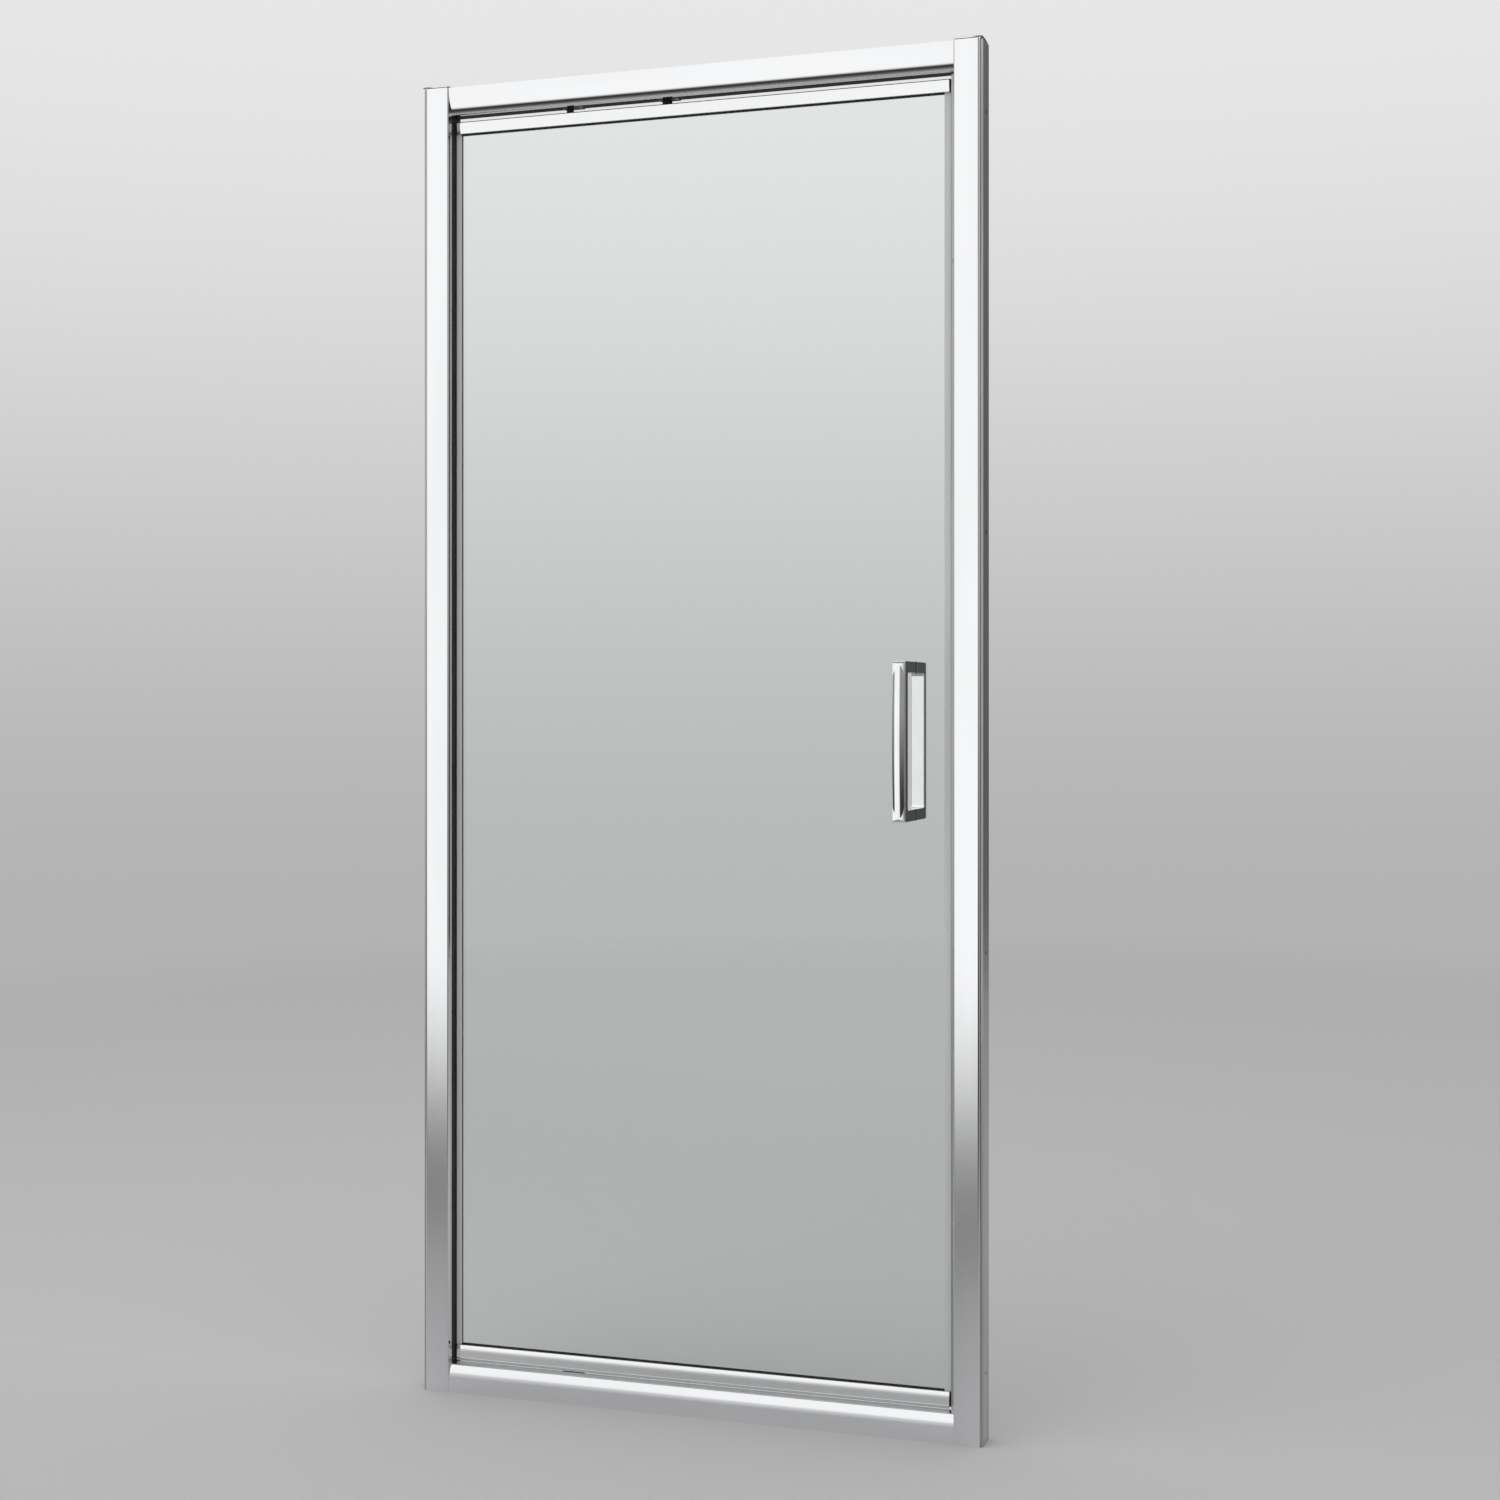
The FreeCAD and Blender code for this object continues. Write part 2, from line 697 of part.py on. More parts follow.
def build_leaf():
    """Glass, rails, gaskets, end caps, pivot inserts and pivot pins."""
    glass = box((glass_left, -glass_half, glass_bottom), (glass_right, glass_half, glass_top))
    hole = stud_bore + sleeve_wall + sleeve_clearance
    for z in stud_heights:
        glass = glass.cut(rod(hole, (handle_x, -glass_thickness, z), (handle_x, glass_thickness, z)))
    save("glass_panel", glass)
    pin_reach = spigot_depth - 2 * boss_wall
    for name, rail, pin_tip in (
        ("top", Rail(leaf_top, top_rail_height, -1), header_underside + pin_reach),
        ("bottom", Rail(leaf_bottom, bottom_rail_height, 1), sill_floor - pin_reach),
    ):
        save(name + "_door_rail", rail.profile())
        save(name + "_glazing_gasket", rail.gasket())
        save(name + "_rail_left_cap", rail.cap(leaf_left, -1))
        save(name + "_rail_right_cap", rail.cap(leaf_right, 1))
        save(name + "_pivot_insert", rail.insert())
        save(name + "_pivot_pin", rod(pin_radius, (pivot_x, 0, rail.pin_root()), (pivot_x, 0, pin_tip)))


def build_edge_seals():
    """Clip-on seals of the upright glass edges, between the rails, one with a bulb and one with a magnet."""
    clip = glass_half + seal_skin
    tip = leaf_left - hinge_seal_overhang
    leg = glass_left + hinge_seal_leg
    hinge = upright([
        (tip, -clip, seal_skin),
        (leg, -clip, 0),
        (leg, -glass_half, 0),
        (glass_left, -glass_half, 0),
        (glass_left, glass_half, 0),
        (leg, glass_half, 0),
        (leg, clip, 0),
        (tip, clip, seal_skin),
    ], seals_bottom, seals_top)
    bulb_radius = (glass_left - tip) / 2 - seal_skin
    bulb_x = (glass_left + tip) / 2
    bulb = rod(bulb_radius, (bulb_x, 0, seals_bottom - past), (bulb_x, 0, seals_top + past))
    save("hinge_edge_seal", hinge.cut(bulb))

    closing = upright([
        (leaf_right, -clip, seal_skin),
        (leaf_right, clip, seal_skin),
        (glass_right - closing_seal_leg, clip, 0),
        (glass_right - closing_seal_leg, glass_half, 0),
        (glass_right, glass_half, 0),
        (glass_right, -glass_half, 0),
        (glass_right - closing_seal_leg, -glass_half, 0),
        (glass_right - closing_seal_leg, -clip, 0),
    ], seals_bottom, seals_top)
    half = magnet_width / 2
    far = leaf_right - seal_skin / 2
    near = far - magnet_thickness - magnet_clearance
    pocket = box(
        (near, -half - magnet_clearance, seals_bottom - past),
        (far, half + magnet_clearance, seals_top + past),
    )
    save("closing_edge_seal", closing.cut(pocket))
    magnet_x = near + magnet_clearance / 2
    save("door_magnet", box((magnet_x, -half, seals_bottom), (magnet_x + magnet_thickness, half, seals_top)))


def build_drip_seal():
    """Wiper with two lips under the bottom rail, cut away round the lower pivot."""
    tip = sill_height + drip_clearance
    base = leaf_bottom - drip_skin
    half = drip_width / 2
    wiper = lengthwise([
        (-half, leaf_bottom, 0),
        (half, leaf_bottom, 0),
        (half, base, 0),
        (half - drip_skin, tip, 0),
        (half - 2 * drip_skin, tip, 0),
        (half - 2 * drip_skin, base, 0),
        (-half + 2 * drip_skin, base, 0),
        (-half + 2 * drip_skin, tip, 0),
        (-half + drip_skin, tip, 0),
        (-half, base, 0),
    ], rail_left, rail_right)
    room = rod(foot_radius + drip_clearance, (pivot_x, 0, tip - past), (pivot_x, 0, leaf_bottom + past))
    save("drip_seal", *wiper.cut(room).Solids)


def crowned_face(half, tip, drop, back):
    """Level face across a pull: straight at the back, and an arc in front that reaches tip in its middle."""
    left = handle_x - half
    right = handle_x + half
    middle = Vector(handle_x, tip, handle_height)
    sides = Part.makePolygon([
        Vector(left, drop, handle_height),
        Vector(left, back, handle_height),
        Vector(right, back, handle_height),
        Vector(right, drop, handle_height),
    ])
    arc = Part.Arc(Vector(right, drop, handle_height), middle, Vector(left, drop, handle_height))
    return Part.Face(Part.Wire(sides.Edges + [arc.toShape()]))


def lens(tip, bar):
    """Raised middle of a pull's front: crowned across, bowed along, and tapered to nothing at both ends."""
    half = handle_width / 2 - handle_lens_inset
    sag = handle_lens_radius - math.sqrt(handle_lens_radius ** 2 - half ** 2)
    face = crowned_face(half, tip, tip + sag, tip + bar / 2)
    reach = handle_length / 2 - handle_corner
    bow_radius = (reach ** 2 + handle_lens_height ** 2) / (2 * handle_lens_height)
    swing = math.degrees(math.asin(reach / bow_radius))
    centre = Vector(handle_x, tip + bow_radius, handle_height)
    face.rotate(centre, Vector(1, 0, 0), -swing)
    return face.revolve(centre, Vector(1, 0, 0), 2 * swing)


def pull(handle_reach, bar):
    """D-pull on the room's side of the glass: legs and bar in one, with a raised lens on its front."""
    foot = -handle_foot
    front = handle_lens_height - handle_reach
    inner = bar - handle_reach
    half = handle_width / 2
    loop = lengthwise([
        (foot, handle_bottom, 0),
        (front, handle_bottom, handle_corner),
        (front, handle_top, handle_corner),
        (foot, handle_top, 0),
        (foot, handle_top - handle_leg, 0),
        (inner, handle_top - handle_leg, handle_window_corner),
        (inner, handle_bottom + handle_leg, handle_window_corner),
        (foot, handle_bottom + handle_leg, 0),
    ], handle_x - half, handle_x + half)
    brow = crowned_face(half, front, front + handle_brow, foot)
    brow.translate(Vector(0, 0, -handle_length / 2))
    handle = loop.common(brow.extrude(Vector(0, 0, handle_length)))
    rim = []
    for face in handle.Faces:
        if abs(face.normalAt(0, 0).x) > 0.999 and face.BoundBox.ZLength > handle_length / 2:
            rim.extend(face.Edges)
    handle = handle.makeFillet(handle_edge_round, rim).fuse(lens(-handle_reach, bar)).removeSplitter()
    for z in stud_heights:
        end = (handle_x, -stud_engagement - screw_clearance, z)
        handle = handle.cut(rod(stud_bore, (handle_x, 0, z), end))
    return handle


def build_handles():
    """Two pulls, the studs that join them through the glass, and what lies between them and the glass."""
    save("outer_handle", pull(outer_handle_reach, outer_handle_bar))
    inner = mirrored(pull(inner_handle_reach, inner_handle_bar), Vector(0, 1, 0))
    set_screws = []
    set_screw_y = (handle_foot + stud_engagement) / 2
    for z, way in zip(stud_heights, (-1, 1)):
        seat = (handle_x, set_screw_y, z + way * stud_bore)
        outside = z + way * handle_leg / 2
        hole_end = (handle_x, set_screw_y, outside + way * past)
        inner = inner.cut(rod(set_screw_radius + screw_clearance, (handle_x, set_screw_y, z), hole_end))
        sunk = (handle_x, set_screw_y, outside - way * set_screw_sink)
        set_screws.append(rod(set_screw_radius, seat, sunk))
    save("inner_handle", inner)
    save("handle_set_screws", *set_screws)

    gaskets = []
    sleeves = []
    studs = []
    for z in stud_heights:
        through = rod(stud_bore, (handle_x, -handle_foot, z), (handle_x, handle_foot, z))
        for side in (-1, 1):
            pad = box(
                (handle_x - handle_width / 2, side * glass_half, z - handle_leg / 2),
                (handle_x + handle_width / 2, side * handle_foot, z + handle_leg / 2),
            )
            corners = [edge for edge in pad.Edges if edge.BoundBox.YLength > handle_gasket / 2]
            gaskets.append(pad.makeFillet(handle_edge_round, corners).cut(through))
        sleeve = rod(stud_bore + sleeve_wall, (handle_x, -glass_half, z), (handle_x, glass_half, z))
        sleeves.append(sleeve.cut(through))
        studs.append(rod(stud_radius, (handle_x, -stud_engagement, z), (handle_x, stud_engagement, z)))
    save("handle_gaskets", *gaskets)
    save("handle_sleeves", *sleeves)
    save("handle_studs", *studs)


os.makedirs("parts", exist_ok=True)
build_jambs()
build_crossbars()
build_blocks()
build_strike()
build_hinge_buffer()
build_header_strip()
build_leaf()
build_edge_seals()
build_drip_seal()
build_handles()
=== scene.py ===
"""Framed pivot shower door, dressed for the studio."""
import bmesh
import bpy
import math
from mathutils import Matrix, Vector


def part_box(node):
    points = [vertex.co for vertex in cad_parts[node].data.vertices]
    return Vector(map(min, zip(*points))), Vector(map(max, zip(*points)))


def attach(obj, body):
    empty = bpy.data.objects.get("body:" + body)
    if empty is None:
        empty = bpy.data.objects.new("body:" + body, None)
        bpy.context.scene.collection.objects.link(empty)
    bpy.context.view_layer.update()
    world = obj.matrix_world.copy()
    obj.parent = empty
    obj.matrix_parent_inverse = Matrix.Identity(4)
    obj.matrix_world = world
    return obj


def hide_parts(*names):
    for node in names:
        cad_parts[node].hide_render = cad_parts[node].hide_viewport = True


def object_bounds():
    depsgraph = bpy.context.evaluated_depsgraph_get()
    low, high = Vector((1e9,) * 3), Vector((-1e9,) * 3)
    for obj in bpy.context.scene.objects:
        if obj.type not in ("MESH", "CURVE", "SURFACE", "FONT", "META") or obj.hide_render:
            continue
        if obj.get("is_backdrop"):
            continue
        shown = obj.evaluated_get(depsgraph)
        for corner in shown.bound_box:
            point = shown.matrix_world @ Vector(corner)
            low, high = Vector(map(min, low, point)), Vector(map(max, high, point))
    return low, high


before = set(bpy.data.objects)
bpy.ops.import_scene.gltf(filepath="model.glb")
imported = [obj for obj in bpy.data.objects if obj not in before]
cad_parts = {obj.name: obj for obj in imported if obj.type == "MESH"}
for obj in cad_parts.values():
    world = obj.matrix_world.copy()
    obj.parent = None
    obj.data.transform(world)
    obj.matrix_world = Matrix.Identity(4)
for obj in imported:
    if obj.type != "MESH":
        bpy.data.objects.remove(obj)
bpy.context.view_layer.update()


# Wall channels
# Two U profiles of extruded aluminium, anodised, that screws through their backs hold upright.
# The jambs slide over them, so only a narrow strip of each shows beside its jamb.

def finish(name, colour, metallic, roughness):
    """A new material with a plain colour, ready for its grain."""
    material = bpy.data.materials.new(name)
    material.use_nodes = True
    shader = material.node_tree.nodes["Principled BSDF"]
    shader.inputs["Base Color"].default_value = (*colour, 1)
    shader.inputs["Metallic"].default_value = metallic
    shader.inputs["Roughness"].default_value = roughness
    return material


def grain(material, size, detail=4.0):
    """Noise on the piece's own place, one patch about as big as size (metres, per axis)."""
    nodes = material.node_tree.nodes
    links = material.node_tree.links
    place = nodes.new("ShaderNodeTexCoord")
    stretch = nodes.new("ShaderNodeMapping")
    stretch.inputs["Scale"].default_value = [1 / length for length in size]
    noise = nodes.new("ShaderNodeTexNoise")
    noise.inputs["Scale"].default_value = 1
    noise.inputs["Detail"].default_value = detail
    links.new(place.outputs["Object"], stretch.inputs["Vector"])
    links.new(stretch.outputs["Vector"], noise.inputs["Vector"])
    return noise.outputs["Fac"]


def vary_gloss(material, pattern, low, high, start=0.3, end=0.7):
    """Roughness from low, where the pattern is at start, to high, where it is at end."""
    nodes = material.node_tree.nodes
    links = material.node_tree.links
    spread = nodes.new("ShaderNodeMapRange")
    spread.inputs["From Min"].default_value = start
    spread.inputs["From Max"].default_value = end
    spread.inputs["To Min"].default_value = low
    spread.inputs["To Max"].default_value = high
    links.new(pattern, spread.inputs["Value"])
    links.new(spread.outputs["Result"], nodes["Principled BSDF"].inputs["Roughness"])


def vary_colour(material, pattern, dark, light, start=0.35, end=0.65):
    """Base colour from dark, where the pattern is at start, to light, where it is at end."""
    nodes = material.node_tree.nodes
    links = material.node_tree.links
    ramp = nodes.new("ShaderNodeValToRGB")
    first, last = ramp.color_ramp.elements
    first.position = start
    first.color = (*dark, 1)
    last.position = end
    last.color = (*light, 1)
    links.new(pattern, ramp.inputs["Fac"])
    links.new(ramp.outputs["Color"], nodes["Principled BSDF"].inputs["Base Color"])


def emboss(material, pattern, height, strength):
    """A relief of that height in metres over the pattern."""
    nodes = material.node_tree.nodes
    links = material.node_tree.links
    bump = nodes.new("ShaderNodeBump")
    bump.inputs["Distance"].default_value = height
    bump.inputs["Strength"].default_value = strength
    links.new(pattern, bump.inputs["Height"])
    links.new(bump.outputs["Normal"], nodes["Principled BSDF"].inputs["Normal"])


def dress(material, *names):
    """Gives a material to CAD nodes."""
    for name in names:
        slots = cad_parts[name].data.materials
        slots.clear()
        slots.append(material)


# The anodised tone is set darker than bright aluminium: painted shade for the channels, which sit in
# shadow beside the jambs. The strike strip in the jamb's recess shares it.
anodised = finish("anodised_aluminium", (0.5, 0.505, 0.52), 1, 0.3)
drawn_lines = grain(anodised, (0.0006, 0.0006, 0.25))
vary_gloss(anodised, drawn_lines, 0.24, 0.38)
vary_colour(anodised, grain(anodised, (0.02, 0.02, 0.3)), (0.46, 0.465, 0.48), (0.54, 0.545, 0.56))
emboss(anodised, drawn_lines, 0.00002, 0.3)
dress(anodised, "left_wall_channel", "right_wall_channel")


# Jambs and their caps
# C profiles of extruded aluminium, polished and bright chromed, that slide over the wall channels.
# A moulded cap closes the top of each, and pan-head screws hold them from the back.

def chrome(name, lines, cloud):
    """Polished chrome with faint die lines; lines and cloud are patch sizes in metres."""
    material = finish(name, (0.9, 0.905, 0.915), 1, 0.03)
    die_lines = grain(material, lines)
    vary_gloss(material, die_lines, 0.015, 0.05)
    vary_colour(material, grain(material, cloud, 2), (0.88, 0.885, 0.895), (0.92, 0.925, 0.935))
    emboss(material, die_lines, 0.000004, 0.15)
    return material


upright_chrome = chrome("chrome_on_uprights", (0.0012, 0.0012, 0.6), (0.05, 0.05, 0.5))
dress(upright_chrome, "left_jamb", "right_jamb")
steel = finish("turned_steel", (0.62, 0.62, 0.64), 1, 0.25)
tool_marks = grain(steel, (0.0004, 0.0004, 0.0004))
vary_gloss(steel, tool_marks, 0.18, 0.34)
emboss(steel, tool_marks, 0.00001, 0.4)


def pick_level(piece, height, facing, slack=1e-5, level=0.99):
    """Selects the faces that lie at a height and face up (1) or down (-1), in edit mode."""
    bpy.ops.mesh.select_mode(type="FACE")
    bpy.ops.mesh.select_all(action="DESELECT")
    shape = bmesh.from_edit_mesh(piece.data)
    for face in shape.faces:
        if abs(face.calc_center_median().z - height) < slack and face.normal.z * facing > level:
            face.select_set(True)
    bmesh.update_edit_mesh(piece.data)


def carve(piece, cutter):
    """Cuts the cutter's shape out of a piece."""
    bpy.context.view_layer.objects.active = piece
    cut = piece.modifiers.new("recess", "BOOLEAN")
    cut.object = cutter
    cut.operation = "DIFFERENCE"
    cut.solver = "EXACT"
    bpy.ops.object.modifier_apply(modifier=cut.name)


def smooth_by_edges(piece, crisp=35):
    """Smooth round faces, with edges of more than so many degrees left crisp."""
    bpy.ops.object.select_all(action="DESELECT")
    piece.select_set(True)
    bpy.context.view_layer.objects.active = piece
    bpy.ops.object.shade_smooth_by_angle(angle=math.radians(crisp))


def copy_piece(model, move):
    """A copy of a piece with its own mesh, moved to its place."""
    piece = model.copy()
    piece.data = model.data.copy()
    piece.data.transform(move)
    bpy.context.scene.collection.objects.link(piece)
    return piece


def pan_head_screw(head, rise, shank, length):
    """A screw with a domed head and a cross recess, head upwards, its seat at the origin."""
    dome = 0.7 * rise
    point = 0.15 * length
    blunt = 0.4
    cross_length = 1.25 * head
    cross_width = 0.26 * head
    cross_depth = 0.6 * rise
    cross_taper = (0.5, 0.8, 1)
    bpy.ops.object.select_all(action="DESELECT")
    bpy.ops.mesh.primitive_cylinder_add(vertices=48, radius=head, depth=rise, location=(0, 0, rise / 2))
    bpy.ops.object.transform_apply(location=True, rotation=False, scale=False)
    screw = bpy.context.object
    bpy.ops.object.mode_set(mode="EDIT")
    pick_level(screw, rise, 1)
    bpy.ops.mesh.bevel(offset=dome, segments=6, affect="EDGES")
    pick_level(screw, 0, -1)
    bpy.ops.mesh.inset(thickness=head - shank)
    bpy.ops.mesh.extrude_region_move(TRANSFORM_OT_translate={"value": (0, 0, point - length)})
    bpy.ops.mesh.extrude_region_move(TRANSFORM_OT_translate={"value": (0, 0, -point)})
    bpy.ops.transform.resize(value=(blunt, blunt, 1))
    bpy.ops.object.mode_set(mode="OBJECT")
    bpy.ops.object.select_all(action="DESELECT")
    bpy.ops.mesh.primitive_cube_add(
        size=1, location=(0, 0, rise), scale=(cross_length, cross_width, 2 * cross_depth)
    )
    bpy.ops.object.transform_apply(location=True, rotation=False, scale=True)
    blade = bpy.context.object
    bpy.ops.object.mode_set(mode="EDIT")
    pick_level(blade, rise - cross_depth, -1)
    bpy.ops.transform.resize(value=cross_taper)
    bpy.ops.object.mode_set(mode="OBJECT")
    carve(screw, blade)
    blade.data.transform(Matrix.Rotation(math.radians(90), 4, "Z"))
    carve(screw, blade)
    bpy.data.objects.remove(blade)
    smooth_by_edges(screw)
    return screw


def fit_screws(model, name, node, body, places, turn=0.7):
    """Sets copies of a screw in their places, each with the way it faces, as the piece for a node.

    Each screw is driven a little further round, by turn in radians, than the one before it.
    """
    bpy.ops.object.select_all(action="DESELECT")
    for number, (place, facing) in enumerate(places):
        driven_in = Matrix.Rotation(turn * number, 4, "Z")
        tipped = Vector((0, 0, 1)).rotation_difference(Vector(facing)).to_matrix().to_4x4()
        screw = copy_piece(model, Matrix.Translation(place) @ tipped @ driven_in)
        screw.select_set(True)
        bpy.context.view_layer.objects.active = screw
    bpy.ops.object.join()
    bpy.data.objects.remove(model)
    screws = bpy.context.object
    screws.name = name
    screws.data.materials.clear()
    screws.data.materials.append(steel)
    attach(screws, body)
    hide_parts(node)


cap_plate = 0.0023
cap_neck = 0.0012
cap_edge = 0.0005
cap_overhang = 0.003
cap_shoulder = 0.009
low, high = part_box("left_jamb_cap")
cap_plug = high.z - cap_plate - cap_neck - low.z
bpy.ops.object.select_all(action="DESELECT")
bpy.ops.mesh.primitive_cube_add(
    size=1, location=((low.x + high.x) / 2, (low.y + high.y) / 2, high.z - cap_plate / 2),
    scale=(high.x - low.x, high.y - low.y, cap_plate),
)
bpy.ops.object.transform_apply(location=True, rotation=False, scale=True)
cap_model = bpy.context.object
bpy.ops.object.mode_set(mode="EDIT")
bpy.ops.mesh.select_all(action="SELECT")
bpy.ops.mesh.bevel(offset=cap_edge, segments=3, affect="EDGES")
pick_level(cap_model, high.z - cap_plate, -1)
bpy.ops.mesh.inset(thickness=cap_overhang)
bpy.ops.mesh.extrude_region_move(TRANSFORM_OT_translate={"value": (0, 0, -cap_neck)})
bpy.ops.mesh.inset(thickness=cap_shoulder)
bpy.ops.mesh.extrude_region_move(TRANSFORM_OT_translate={"value": (0, 0, -cap_plug)})
bpy.ops.object.mode_set(mode="OBJECT")
smooth_by_edges(cap_model)
cap_model.data.materials.append(upright_chrome)
for side in ("left", "right"):
    cap = copy_piece(cap_model, Matrix.Translation(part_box(side + "_jamb_cap")[0] - low))
    cap.name = side + "_jamb_cap_moulding"
    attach(cap, "frame")
    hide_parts(side + "_jamb_cap")
bpy.data.objects.remove(cap_model)

jamb_head = 0.0034
jamb_rise = 0.0022
jamb_shank = 0.002
low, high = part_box("jamb_screws")
jamb_seat = high.y - jamb_rise
jamb_places = []
for x in (low.x + jamb_head, high.x - jamb_head):
    for z in (low.z + jamb_head, (low.z + high.z) / 2, high.z - jamb_head):
        jamb_places.append(((x, jamb_seat, z), (0, 1, 0)))
jamb_screw = pan_head_screw(jamb_head, jamb_rise, jamb_shank, jamb_seat - low.y)
fit_screws(jamb_screw, "jamb_pan_head_screws", "jamb_screws", "frame", jamb_places)


# Header and sill
# Hollow crossbars of the same chromed aluminium, with a rounded nose at the front.
# Plain steel screws through the jambs run into ports inside them.

crossbar_chrome = chrome("chrome_on_crossbars", (0.6, 0.0012, 0.0012), (0.5, 0.05, 0.05))
dress(crossbar_chrome, "header_rail", "sill_rail")
dress(steel, "corner_screws")


# Pivot and stop blocks
# Black nylon mouldings screwed under the header and on the sill. Two of them hold a pale acetal
# bush for a pivot pin, and an acetal washer carries the leaf.

nylon = finish("black_nylon", (0.02, 0.02, 0.022), 0, 0.5)
nylon_grain = grain(nylon, (0.0005, 0.0005, 0.0005))
vary_gloss(nylon, nylon_grain, 0.4, 0.6)
vary_colour(nylon, grain(nylon, (0.006, 0.006, 0.006)), (0.014, 0.014, 0.016), (0.028, 0.028, 0.03))
emboss(nylon, nylon_grain, 0.00004, 0.5)
dress(nylon, "header_pivot_block", "header_stop_block", "sill_pivot_block")
acetal = finish("natural_acetal", (0.82, 0.8, 0.74), 0, 0.4)
acetal_mottle = grain(acetal, (0.002, 0.002, 0.002))
vary_gloss(acetal, acetal_mottle, 0.32, 0.46)
vary_colour(acetal, acetal_mottle, (0.78, 0.76, 0.7), (0.85, 0.83, 0.77))
dress(acetal, "header_pivot_bush", "sill_pivot_bush", "thrust_washer")
block_head = 0.003
block_rise = 0.0015
block_shank = 0.0015
block_length = 0.0094
low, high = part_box("block_screws")
block_places = [
    ((low.x + block_head, 0, high.z - block_length), (0, 0, -1)),
    ((high.x - block_head, 0, high.z - block_length), (0, 0, -1)),
    ((low.x + block_head, 0, low.z + block_length), (0, 0, 1)),
]
block_screw = pan_head_screw(block_head, block_rise, block_shank, block_length)
fit_screws(block_screw, "block_pan_head_screws", "block_screws", "frame", block_places)


# Strike and seals of the frame
# On the handle side an anodised strip is screwed into the jamb's recess. It holds a flexible magnet
# in a white sleeve. Soft black rubber strips close the pivot side and the gap under the header.

dress(anodised, "strike_strip")
strike_head = 0.003
strike_rise = 0.0022
strike_shank = 0.0015
low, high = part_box("strike_screws")
strike_seat = low.y + strike_rise
strike_places = []
for z in (low.z + strike_head, high.z - strike_head):
    strike_places.append((((low.x + high.x) / 2, strike_seat, z), (0, -1, 0)))
strike_screw = pan_head_screw(strike_head, strike_rise, strike_shank, high.y - strike_seat)
fit_screws(strike_screw, "strike_pan_head_screws", "strike_screws", "frame", strike_places)
magnet_sleeve = finish("white_magnet_sleeve", (0.78, 0.79, 0.8), 0, 0.4)
sleeve_lines = grain(magnet_sleeve, (0.0005, 0.0005, 0.12))
vary_gloss(magnet_sleeve, sleeve_lines, 0.3, 0.5)
vary_colour(magnet_sleeve, grain(magnet_sleeve, (0.01, 0.01, 0.2)), (0.75, 0.76, 0.77), (0.81, 0.82, 0.83))
emboss(magnet_sleeve, sleeve_lines, 0.00001, 0.3)
dress(magnet_sleeve, "jamb_magnet", "door_magnet")
rubber = finish("black_rubber", (0.025, 0.025, 0.025), 0, 0.7)
rubber_grain = grain(rubber, (0.0004, 0.0004, 0.002))
vary_gloss(rubber, rubber_grain, 0.55, 0.8)
vary_colour(rubber, grain(rubber, (0.01, 0.01, 0.05)), (0.018, 0.018, 0.018), (0.034, 0.034, 0.034))
emboss(rubber, rubber_grain, 0.00003, 0.4)
dress(rubber, "hinge_jamb_seal", "header_seal")


# Glass
# One pane of clear toughened glass, 6 mm thick, with polished edges and two holes for the handle.
# It stands in the gaskets of the two rails.

glass = finish("clear_glass", (0.955, 0.975, 0.968), 0, 0.0)
pane_shader = glass.node_tree.nodes["Principled BSDF"]
pane_shader.inputs["Transmission Weight"].default_value = 1
pane_shader.inputs["IOR"].default_value = 1.5
vary_gloss(glass, grain(glass, (0.05, 0.05, 0.12), 5), 0.0, 0.012)
dress(glass, "glass_panel")


# Door rails
# Chromed aluminium extrusions that clamp the glass at the top and at the bottom in black gaskets.
# Black nylon caps close their ends, and nylon blocks inside hold the steel pivot pins.

rail_chrome = chrome("chrome_on_door_rails", (0.5, 0.001, 0.001), (0.4, 0.04, 0.04))
dress(rail_chrome, "top_door_rail", "bottom_door_rail")
dress(rubber, "top_glazing_gasket", "bottom_glazing_gasket")
dress(
    nylon, "top_rail_left_cap", "top_rail_right_cap", "bottom_rail_left_cap", "bottom_rail_right_cap",
    "top_pivot_insert", "bottom_pivot_insert",
)
dress(steel, "top_pivot_pin", "bottom_pivot_pin")


# Seals of the leaf
# Extruded clear PVC, a little cloudy: clip-on seals on the upright glass edges, and a wiper with
# two lips under the bottom rail. The seal on the handle side holds the second magnet strip.

clear_pvc = finish("clear_pvc", (0.9, 0.91, 0.91), 0, 0.2)
pvc_shader = clear_pvc.node_tree.nodes["Principled BSDF"]
pvc_shader.inputs["Transmission Weight"].default_value = 0.12
pvc_shader.inputs["IOR"].default_value = 1.53
pvc_lines = grain(clear_pvc, (0.0008, 0.0008, 0.15))
vary_gloss(clear_pvc, pvc_lines, 0.12, 0.28)
vary_colour(clear_pvc, grain(clear_pvc, (0.01, 0.01, 0.2)), (0.87, 0.88, 0.88), (0.93, 0.94, 0.94))
dress(clear_pvc, "hinge_edge_seal", "closing_edge_seal", "drip_seal")


# Handles
# Two die-cast D-pulls, mirror chromed, back to back on the glass. Steel studs in nylon sleeves
# join them through the holes, black rubber pads keep them off the glass, and grub screws lock them.

mirror_chrome = finish("mirror_chrome_casting", (0.9, 0.905, 0.91), 1, 0.02)
polish = grain(mirror_chrome, (0.012, 0.012, 0.03), 3)
vary_gloss(mirror_chrome, polish, 0.01, 0.04)
plating = grain(mirror_chrome, (0.03, 0.03, 0.06), 2)
vary_colour(mirror_chrome, plating, (0.88, 0.885, 0.89), (0.92, 0.925, 0.93))
emboss(mirror_chrome, polish, 0.00001, 0.05)
dress(mirror_chrome, "outer_handle", "inner_handle")
dress(rubber, "handle_gaskets")
dress(nylon, "handle_sleeves")
dress(steel, "handle_studs")


